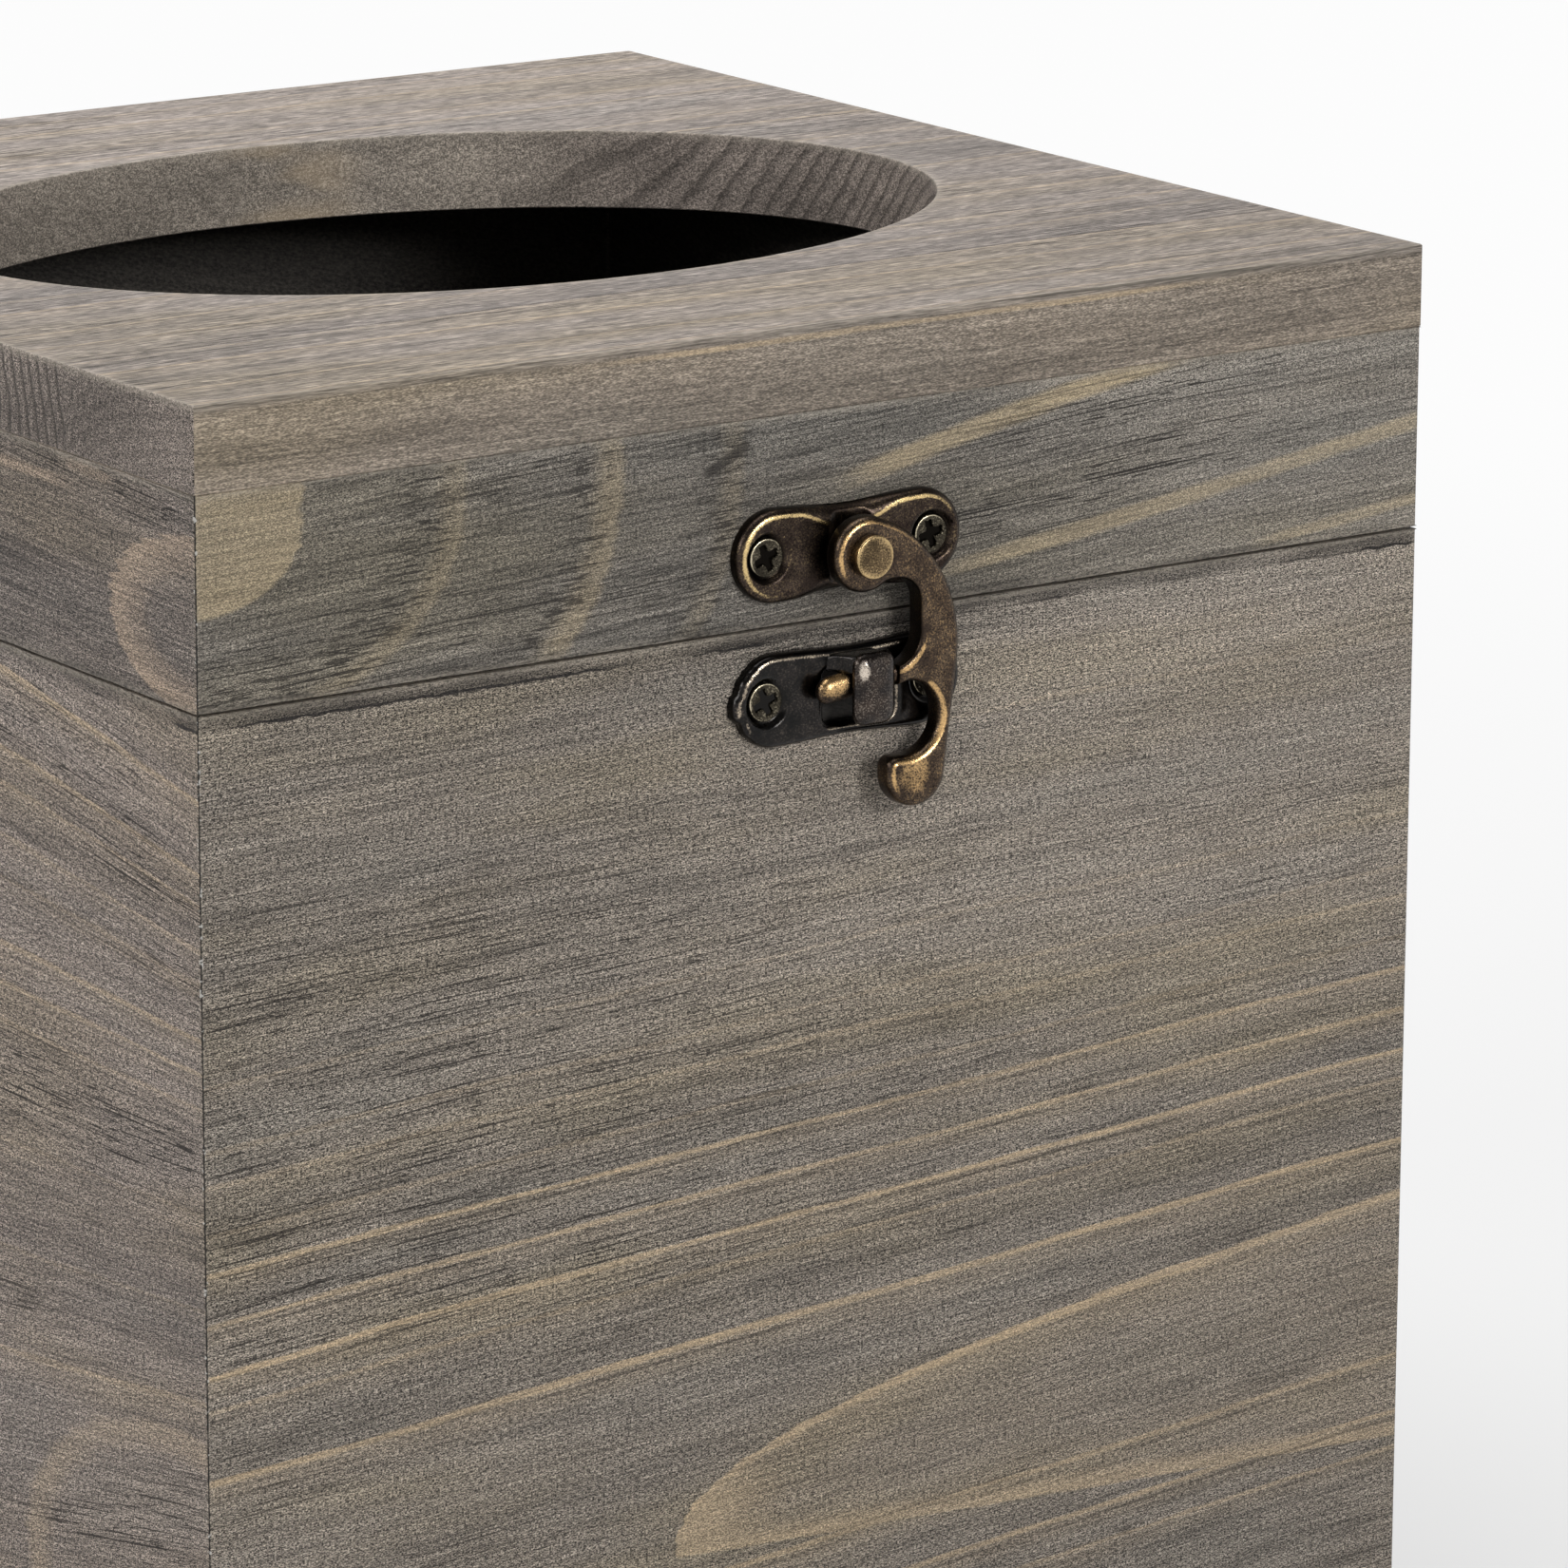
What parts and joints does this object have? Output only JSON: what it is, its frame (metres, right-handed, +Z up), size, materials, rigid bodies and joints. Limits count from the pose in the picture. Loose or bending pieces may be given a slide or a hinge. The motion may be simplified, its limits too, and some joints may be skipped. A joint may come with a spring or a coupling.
{
  "type": "tissue box cover",
  "caption": "Square wooden tissue box cover with an oval dispensing opening in its top, a lid hinged at the back and a swing hook latch at the front.",
  "frame": {"origin": "middle of the flat underside that the cover rests on", "axes": "+X to the right as seen from the latch side, +Y towards the hinges, +Z up"},
  "size_m": [0.15, 0.1585, 0.16],
  "materials": {
    "grey_stained_wood": "grey stained pine, matte",
    "antique_brass": "antique brass, brown with bright worn edges",
    "blackened_brass": "antique brass, nearly black",
    "screw_metal": "dull pewter coloured plating"
  },
  "bodies": {
    "base": {"base_bottom_board": "grey_stained_wood", "base_front_panel": "grey_stained_wood", "base_right_panel": "grey_stained_wood", "base_back_panel": "grey_stained_wood", "base_left_panel": "grey_stained_wood", "catch_plate": "blackened_brass", "catch_plate_screws": "screw_metal", "hinge_left_base_leaf": "antique_brass", "hinge_left_pin": "antique_brass", "hinge_right_base_leaf": "antique_brass", "hinge_right_pin": "antique_brass", "hinge_base_screws": "screw_metal"},
    "lid": {"lid_front_rail": "grey_stained_wood", "lid_right_rail": "grey_stained_wood", "lid_back_rail": "grey_stained_wood", "lid_left_rail": "grey_stained_wood", "lid_top_board": "grey_stained_wood", "latch_plate": "antique_brass", "latch_plate_screws": "screw_metal", "latch_rivet": "antique_brass", "hinge_left_lid_leaf": "antique_brass", "hinge_right_lid_leaf": "antique_brass", "hinge_lid_screws": "screw_metal"},
    "hook": {"latch_hook": "antique_brass"}
  },
  "joints": [
    {"name": "lid_hinge", "type": "hinge", "parent": "base", "child": "lid", "pos_m": [0, 0.07645, 0.1296], "axis": [-1, 0, 0], "range_deg": [0, 180]},
    {"name": "hook_swing", "type": "hinge", "parent": "lid", "child": "hook", "pos_m": [0.00075, -0.075, 0.13675], "axis": [0, -1, 0], "range_deg": [0, 180]}
  ]
}
